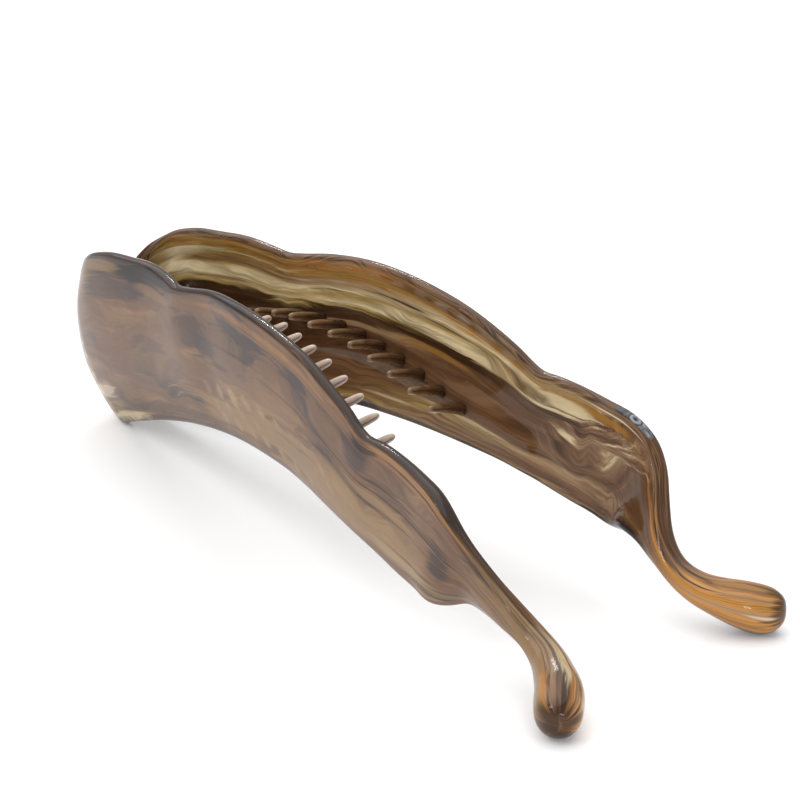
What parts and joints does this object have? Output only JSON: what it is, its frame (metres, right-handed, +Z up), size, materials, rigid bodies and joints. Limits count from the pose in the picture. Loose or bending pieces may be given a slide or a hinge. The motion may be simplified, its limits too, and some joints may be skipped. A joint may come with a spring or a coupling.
{
  "type": "banana hair clip",
  "caption": "Open banana hair clip with two scalloped marbled plastic arms, comb teeth inside, a pin hinge at one end and finger tails at the other.",
  "frame": {"origin": "on the surface the clip lies on, under the middle of its bounding box", "axes": "+X along the clip from the hinge to the finger tails, +Y from the front arm to the rear arm, +Z up to the scalloped rims"},
  "size_m": [0.1375, 0.0496, 0.0387],
  "materials": {
    "marbled_horn_plastic": "polished, marbled brown and cream like horn",
    "hinge_steel": "plain drawn wire"
  },
  "bodies": {
    "front": {"arm_front": "marbled_horn_plastic", "hinge_pin": "hinge_steel"},
    "rear": {"arm_rear": "marbled_horn_plastic"}
  },
  "joints": [
    {"name": "clip_hinge", "type": "hinge", "parent": "front", "child": "rear", "pos_m": [-0.0606, 0, 0.0165], "axis": [0, 0, 1], "range_deg": [-12, 33]}
  ]
}
